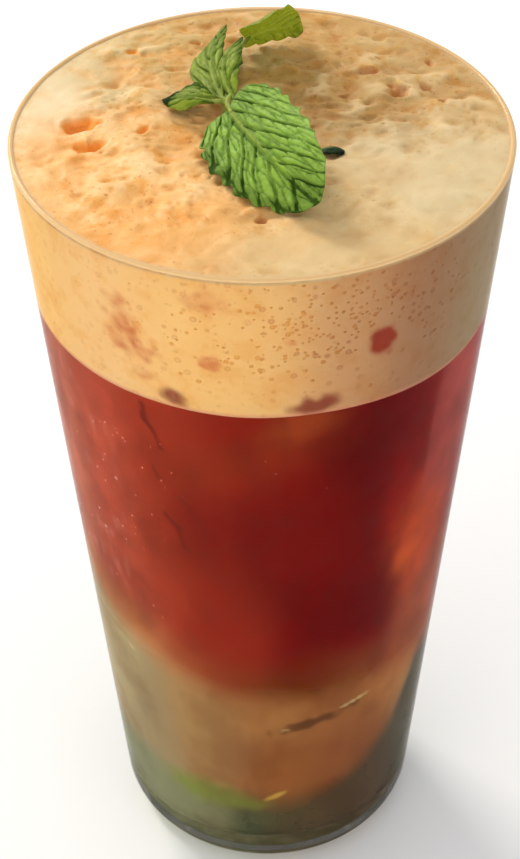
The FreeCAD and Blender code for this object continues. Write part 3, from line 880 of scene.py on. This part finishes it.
def drink_tint(x, y, z):
    """Colours of the drink seen at the wall, and how thick its haze is there."""
    def spot(*shape):
        return wall_spot(x, y, z, *shape)

    turn = turn_of(x, y)
    high, low = blend(SODA_WALL, turn, z), blend(SODA_LOW, turn, z)
    brim = 20.5 + 3.5 * np.minimum(1, turn / -55) ** 2 * (turn < 0) \
        + 12.5 * np.minimum(1.3, turn / 53) ** 2 * (turn > 0) * smooth((150 - turn) / 60)
    brim = brim + 9 * smooth((turn - 50) / 16) * smooth((140 - turn) / 50) \
        + 1.6 * wall_noise(x, y, z, 8.0, 15)
    below = smooth((brim - z) / 8.0 + 0.5)
    soda = high + (low - high) * below[:, None]
    green = spot(-25, 20.9, 10.0, 3.4, -0.05, 11, 1.2) \
        + 0.6 * spot(-7, 19.2, 5.0, 1.6, 0.0, 17, 1.2)
    soda = towards(soda, (132, 148, 58), 0.75 * unit(green))
    slit = spot(16, 42.8, 8.5, 1.2, 0.187, 12, 0.9, 0.45)
    soda = towards(soda, (84, 44, 18), 0.8 * slit)
    glint = spot(30.5, 45.3, 3.6, 0.4, 0.17, 13) \
        + 0.6 * spot(5.4, 41.5, 1.3, 0.3, 0.1, 14) \
        + 0.9 * spot(-51, 53.5, 0.9, 0.4, -0.3, 15)
    soda = towards(soda, (228, 198, 138), 0.75 * unit(glint))
    soda = towards(soda, (226, 180, 78), 0.8 * spot(2.8, 21.9, 3.2, 0.7, 0.42, 18))
    red = blend(ESPRESSO_WALL, turn, z)
    glow = spot(46, 78, 3.2, 3.2, 0, 8, 1.2) \
        + 0.5 * spot(49, 84, 7, 10, 0, 9, 1.5)
    red = towards(red, (236, 104, 44), 0.6 * unit(glow))
    red = towards(red, (158, 52, 22), 0.6 * spot(-9, 109, 17, 4.5, 0.30, 21, 1.6))
    red = towards(red, (186, 84, 36), 0.6 * spot(9, 117.5, 6, 3.2, 0.30, 22, 1.4))
    # painted light: a bright strip at the right edge, where light passes through a thin layer of
    # the drink
    painted_edge_light = smooth((turn - 47.5) / 1.6) * smooth((turn - 0.25 * (z - 93) - 42) / 4) \
        * smooth((z - 86) / 9) * smooth((90 - turn) / 20)
    red = towards(red, (196, 84, 78), 0.6 * painted_edge_light)
    cloudy = 0.10 * wall_noise(x, y, z, 5.0, 31) + 0.08 * wall_noise(x, y, z, 1.8, 32)
    red = red * (1 + cloudy * smooth((np.abs(turn) - 18) / 20))[:, None]
    streak = smooth((wall_noise(x, y, 0.4 * z, 1.5, 33) - 0.35) / 0.4) * smooth((-turn - 40) / 10)
    red = towards(red, (222, 134, 118), 0.45 * streak * smooth((100 + turn) / 30))
    crack = sum(share * wall_crack(x, y, z, points, thick, i)
                for i, (points, thick, share) in enumerate(CRACKS, 1))
    red = towards(red, (104, 26, 14), 0.65 * unit(crack))
    rise = z - seen_edge(turn) + 1.4 * wall_noise(x, y, z, 9.0, 5)
    middle = np.exp(-((turn - 6) / 26) ** 2)
    fringe = smooth(1 - rise / 15.0)
    red = towards(red, (184, 102, 58), 0.9 * fringe * (1 - middle))
    red = towards(red, (222, 150, 88),
                  0.6 * fringe * smooth((-turn - 28) / 14) * smooth((100 + turn) / 30))
    red = towards(red, (120, 56, 8), 0.9 * fringe * middle)
    share = smooth((rise + 5.5) / 11.0)[:, None]
    tint = soda + (red - soda) * share
    haze = 0.90 - 0.06 * below
    return tint, haze + (0.98 - haze) * np.exp(-(rise / 6.5) ** 2)


def build_foam():
    verts, faces = layer(fine_foam_top, foam_line, top_rings=128, side_rings=60,
                         bottom_rings=6, count=440)
    x, y, z = verts.T
    r = np.hypot(x, y)
    wall = smooth((r - seat(z) + 1.0) / 0.9) * (z < HEIGHT - 1.0)
    top = blend(FOAM_TOP, x, y, False)
    calm = calm_patch(x, y) * (1 - wall)
    relief = froth(x, y)
    left = smooth((2 - x) / 24)
    # painted shade in the foam's hollows, orange on the left and brown on the right
    painted_hollow_shade = unit(-relief / 0.42)
    top = towards(top, (180, 132, 72), 0.5 * painted_hollow_shade * (1 - left))
    top = towards(top, (230, 164, 88), 0.55 * painted_hollow_shade * left)
    # painted highlight on the raised lumps
    top = towards(top, (250, 222, 172), 0.35 * unit(relief / 0.4))
    top = towards(top, (240, 146, 10), 0.97 * pit_amount(x, y) * left)
    # painted shadow of the back leaf on the foam, green from light through the leaf
    top = towards(top, (146, 122, 30), 0.5 * blob(x, y, 2, 17, 7, 5))
    top = towards(top, (190, 122, 62), 0.8 * pit_amount(x, y) * (1 - left))
    ring = smooth((r - inner_radius(HEIGHT) + 0.5) / 0.4)
    top = towards(top, (206, 184, 146), 0.6 * ring)
    side = blend(FOAM_WALL, turn_of(x, y), z)

    def spot(*shape):
        return wall_spot(x, y, z, *shape)

    stain = (0.8 * spot(-31.8, 132.8, 2.6, 5.2, 0.42, 1, 1.3, 0.75)
             + 0.8 * spot(-12.3, 130.7, 2.0, 1.4, 0, 2)
             + 0.6 * spot(-12, 143, 3.2, 2.0, 0, 4, 1.2, 0.5)
             + 0.5 * spot(6.0, 135.5, 0.8, 0.7, 0, 4))
    crumb = 0.8 + 0.5 * wall_noise(x, y, z, 1.3, 41) + 0.3 * wall_noise(x, y, z, 0.7, 42)
    side = towards(side, (208, 100, 44), 0.8 * unit(stain * crumb))
    red = spot(27.6, 132.3, 2.1, 2.6, 0, 3, 0.9, 0.35)
    side = towards(side, (158, 50, 16), unit(red * (crumb + 0.5)))
    dark = (0.85 * spot(-21.8, 122.2, 2.2, 1.7, 0, 5, 0.8)
            + 0.9 * spot(11.5, 121.6, 3.4, 1.6, 0.1, 6, 1.3, 0.5))
    side = towards(side, (140, 48, 26), 0.9 * unit(dark * (0.4 * crumb + 0.8)))
    foot = smooth((foam_line(x, y) + 0.9 - z) / 0.8)
    side = towards(side, (226, 150, 122), 0.7 * foot)
    tint = top + (side - top) * wall[:, None]
    turn = turn_of(x, y)
    frothy = np.exp(-((turn - 14) / 38) ** 2 - ((z - 137) / 11) ** 2)
    add_object("foam_head", verts, faces, [foam_material()], ("foam",), {
        "tint": tint, "rough": (1 - calm) * (1 - 0.6 * wall),
        "bubbly": unit(wall * (0.2 + 0.6 * frothy) * (1 - red) + 0.25 * (1 - wall) * (1 - calm))},
        rims=True)


def build_espresso():
    verts, faces = layer(lambda x, y: foam_line(x, y) + 0.05,
                         lambda x, y: soda_line(x, y) - 0.02,
                         top_rings=20, side_rings=150, bottom_rings=20, count=420)
    x, y, z = verts.T
    tint, haze = drink_tint(x, y, z)
    face = smooth((np.hypot(x, y) - seat(z) + 0.5) / 0.4)
    add_object("espresso_layer", verts, faces, [liquid_material(
        "espresso", 0.95, (0.79, 0.40, 0.30, 1), 140.0, 0.3)], ("espresso",),
        {"tint": tint, "haze": haze * face + 0.5 * (1 - face)}, rims=True)


def build_soda():
    floor, over = BASE_T, 60.0            # the profile ends over the soda, and is cut there
    top_rings, side_rings = 20, 90
    curve = rounded([(0, floor - SEAT, 0),
                     (inner_radius(floor) + SEAT, floor - SEAT, CORNER_R),
                     (seat(over), over, 0), (0, over, 0)], 24)[1:-2]
    ca, sa = around(420)
    rows = face_rings(soda_line, wall_edge(soda_line, seat(50.0), ca, sa),
                      np.arange(1, top_rings + 1) / top_rings, ca, sa)
    rows += wall_rings(rows[-1][:, 2], curve[-1][1], side_rings, ca, sa)
    rows += [np.stack([r * ca, r * sa, np.full(len(ca), h)], 1) for r, h in curve[::-1]]
    verts, faces = closed(rows, at_axis(soda_line), floor - SEAT)
    x, y, z = verts.T
    tint, haze = drink_tint(x, y, z)
    tint = tint * (1 + smooth((9.5 - z) / 3.0))[:, None]      # painted light: lighter at the floor, against the shade under the drink
    add_object("soda_layer", verts, faces, [liquid_material(
        "soda", 0.94, (0.86, 0.74, 0.58, 1), 60.0, 0.25)], ("soda",),
        {"tint": tint, "haze": haze}, rims=True)


def bubble_mesh(name, spots, patches, lift, shine):
    """Many small round bubbles in one piece: (azimuth, height, radius, sunk) each."""
    rings, count = 5, 10
    verts, faces = [], []
    for turn, z, size, sunk in spots:
        a = math.radians(turn)
        r = seat(z) - sunk
        cx, cy, first = r * math.sin(a), -r * math.cos(a), len(verts)
        for i in range(1, rings + 1):
            t = math.pi * i / (rings + 1)
            for j in range(count):
                p = 2 * math.pi * j / count
                verts.append((cx + size * math.sin(t) * math.cos(p),
                              cy + size * math.sin(t) * math.sin(p), z + size * math.cos(t)))
        verts += [(cx, cy, z + size), (cx, cy, z - size)]
        n = rings * count
        faces += [tuple(first + k for k in f) for f in ring_faces(rings, count, n, n + 1)]
    x, y, z = np.array(verts).T
    # the colours follow the wall's table, its painted light from the left included
    tint = unit(blend(patches, turn_of(x, y), z) * np.array(lift))
    n = Nodes(name)
    colour = n.mix(n.range(n.noise(900, 2, 0.5), 0.35, 0.65), n.colour("tint"),
                   n.times(n.colour("tint"), (1.15, 1.2, 1.2, 1)))
    look = n.finish(n.principled(Base_Color=colour, Roughness=0.4, Specular_IOR_Level=shine))
    add_object(name, verts, faces, [look], (), {"tint": tint})


def build_bubbles():
    draw = np.random.default_rng(5)
    red_turn, red_z = 27.6, 132.2          # the red spot, kept clear of bubbles
    spots = []
    for _ in range(260):
        turn, z = 16 + 18 * draw.standard_normal(), 138 + 5.5 * draw.standard_normal()
        size = 0.2 + 0.6 * draw.random() ** 2.5
        clear = abs(turn - red_turn) > 6 or abs(z - red_z) > 4
        if 121.5 < z < 146.5 and clear:
            spots.append((turn, z, size, size - 0.10 - 0.10 * draw.random()))
    bubble_mesh("foam_wall_bubbles", spots, FOAM_WALL, (0.86, 0.68, 0.50), 0.1)
    spots = [(0.0, 110.4, 0.3, 0.15), (2.5, 107.6, 0.34, 0.17), (4.0, 98.6, 0.25, 0.12),
             (-44.0, 98.0, 0.42, 0.2), (-53.0, 83.0, 0.4, 0.2), (-55.0, 86.5, 0.3, 0.15)]
    for _ in range(70):
        turn = -42 + 14 * draw.standard_normal() if draw.random() < 0.6 else 360 * draw.random()
        size = 0.14 + 0.16 * draw.random()
        spots.append((turn, 66 + 48 * draw.random(), size, 0.6 * size))
    bubble_mesh("drink_wall_bubbles", spots, ESPRESSO_WALL, (1.3, 3.6, 6.0), 0.5)


def build_glass():
    lip = 0.49 * WALL_RIM * math.cos(math.atan2(RIM_R - BASE_R, HEIGHT))
    profile = rounded([
        (0, PUNT, 0), (FOOT_RING_R - 2.5, PUNT, 3.0), (FOOT_RING_R, 0, 1.5),
        (BASE_R, 0, HEEL_R), (RIM_R, HEIGHT, lip), (inner_radius(HEIGHT), HEIGHT, lip),
        (inner_radius(BASE_T), BASE_T, CORNER_R), (0, BASE_T, 0)], 14)[::-1]
    piece = turned("tumbler", profile, [glass_material(), painted_drink_foot_material(), rim_material()],
                   ("glass",), 288)
    for face in piece.data.polygons:
        # faces under the base take the painted reflection of the drink
        if face.normal.z < -0.2 and face.center.z < 3 * MM:
            face.material_index = 1
        elif face.center.z > (HEIGHT - LIP_FOAM) * MM:
            face.material_index = 2


# ---- stage ----
def build_stage():
    mesh = bpy.data.meshes.new("floor")
    half = 3.0
    mesh.from_pydata([(-half, -half, 0), (half, -half, 0), (half, half, 0), (-half, half, 0)],
                     [], [(0, 1, 2, 3)])
    floor = link(bpy.data.objects.new("floor", mesh))
    n = Nodes("pale_floor")
    mesh.materials.append(n.finish(n.principled(Base_Color=(0.86, 0.86, 0.86, 1),
                                                Roughness=0.7)))

    world = bpy.data.worlds.new("studio")
    world.use_nodes = True
    nodes, links = world.node_tree.nodes, world.node_tree.links
    ramp, split, where = (nodes.new("ShaderNode" + kind)
                          for kind in ("MapRange", "SeparateXYZ", "TexCoord"))
    links.new(where.outputs["Generated"], split.inputs[0])
    links.new(split.outputs[0], ramp.inputs[0])
    for k, value in ((1, -0.9), (2, 0.9), (3, 1.05), (4, 0.66)):      # lighter on the left
        ramp.inputs[k].default_value = value
    sky = nodes["Background"].inputs
    sky[0].default_value = (0.97, 0.985, 1.0, 1)
    links.new(ramp.outputs[0], sky[1])
    bpy.context.scene.world = world

    def area(name, place, power, size, colour):
        light = bpy.data.lights.new(name, "AREA")
        light.energy, light.size, light.color = power, size, colour
        lamp = link(bpy.data.objects.new(name, light))
        lamp.location = place
        aim = Vector((0, 0, 0.11)) - Vector(place)
        lamp.rotation_euler = aim.to_track_quat("-Z", "Y").to_euler()

    area("key", (-0.45, 0.70, 0.70), 6.5, 0.32, (1.0, 0.93, 0.82))
    area("side", (-0.80, -0.95, 0.25), 4.5, 0.6, (1.0, 0.94, 0.85))
    area("fill", (0.85, -0.75, 0.20), 2.5, 0.6, (1.0, 0.97, 0.94))


def build_camera():
    elevation, distance, roll = math.radians(39.94), 0.38205, math.radians(-0.62)
    target = Vector((-0.00079, 0.0, 0.08673))
    forward = Vector((0, math.cos(elevation), -math.sin(elevation)))
    right, up = Vector((1, 0, 0)), Vector((0, math.sin(elevation), math.cos(elevation)))
    side = right * math.cos(roll) + up * math.sin(roll)
    top = up * math.cos(roll) - right * math.sin(roll)
    data = bpy.data.cameras.new("camera")
    data.sensor_width, data.lens = 36.0, 91.3
    data.clip_start = 0.01
    camera = link(bpy.data.objects.new("camera", data))
    camera.matrix_world = Matrix.Translation(target - forward * distance) @ Matrix(
        (side, top, -forward)).transposed().to_4x4()
    bpy.context.scene.camera = camera


def set_light_paths():
    """Enough bounces to see through the glass, the drink and the glass again."""
    scene = bpy.context.scene
    scene.view_settings.view_transform = "Standard"
    scene.cycles.max_bounces = 24
    scene.cycles.transmission_bounces = 20
    scene.cycles.transparent_max_bounces = 24
    scene.cycles.glossy_bounces = 12
    scene.cycles.diffuse_bounces = 3
    scene.cycles.sample_clamp_indirect = 4.0


build_glass()
build_foam()
build_espresso()
build_soda()
build_bubbles()
build_mint()
build_stage()
build_camera()
set_light_paths()
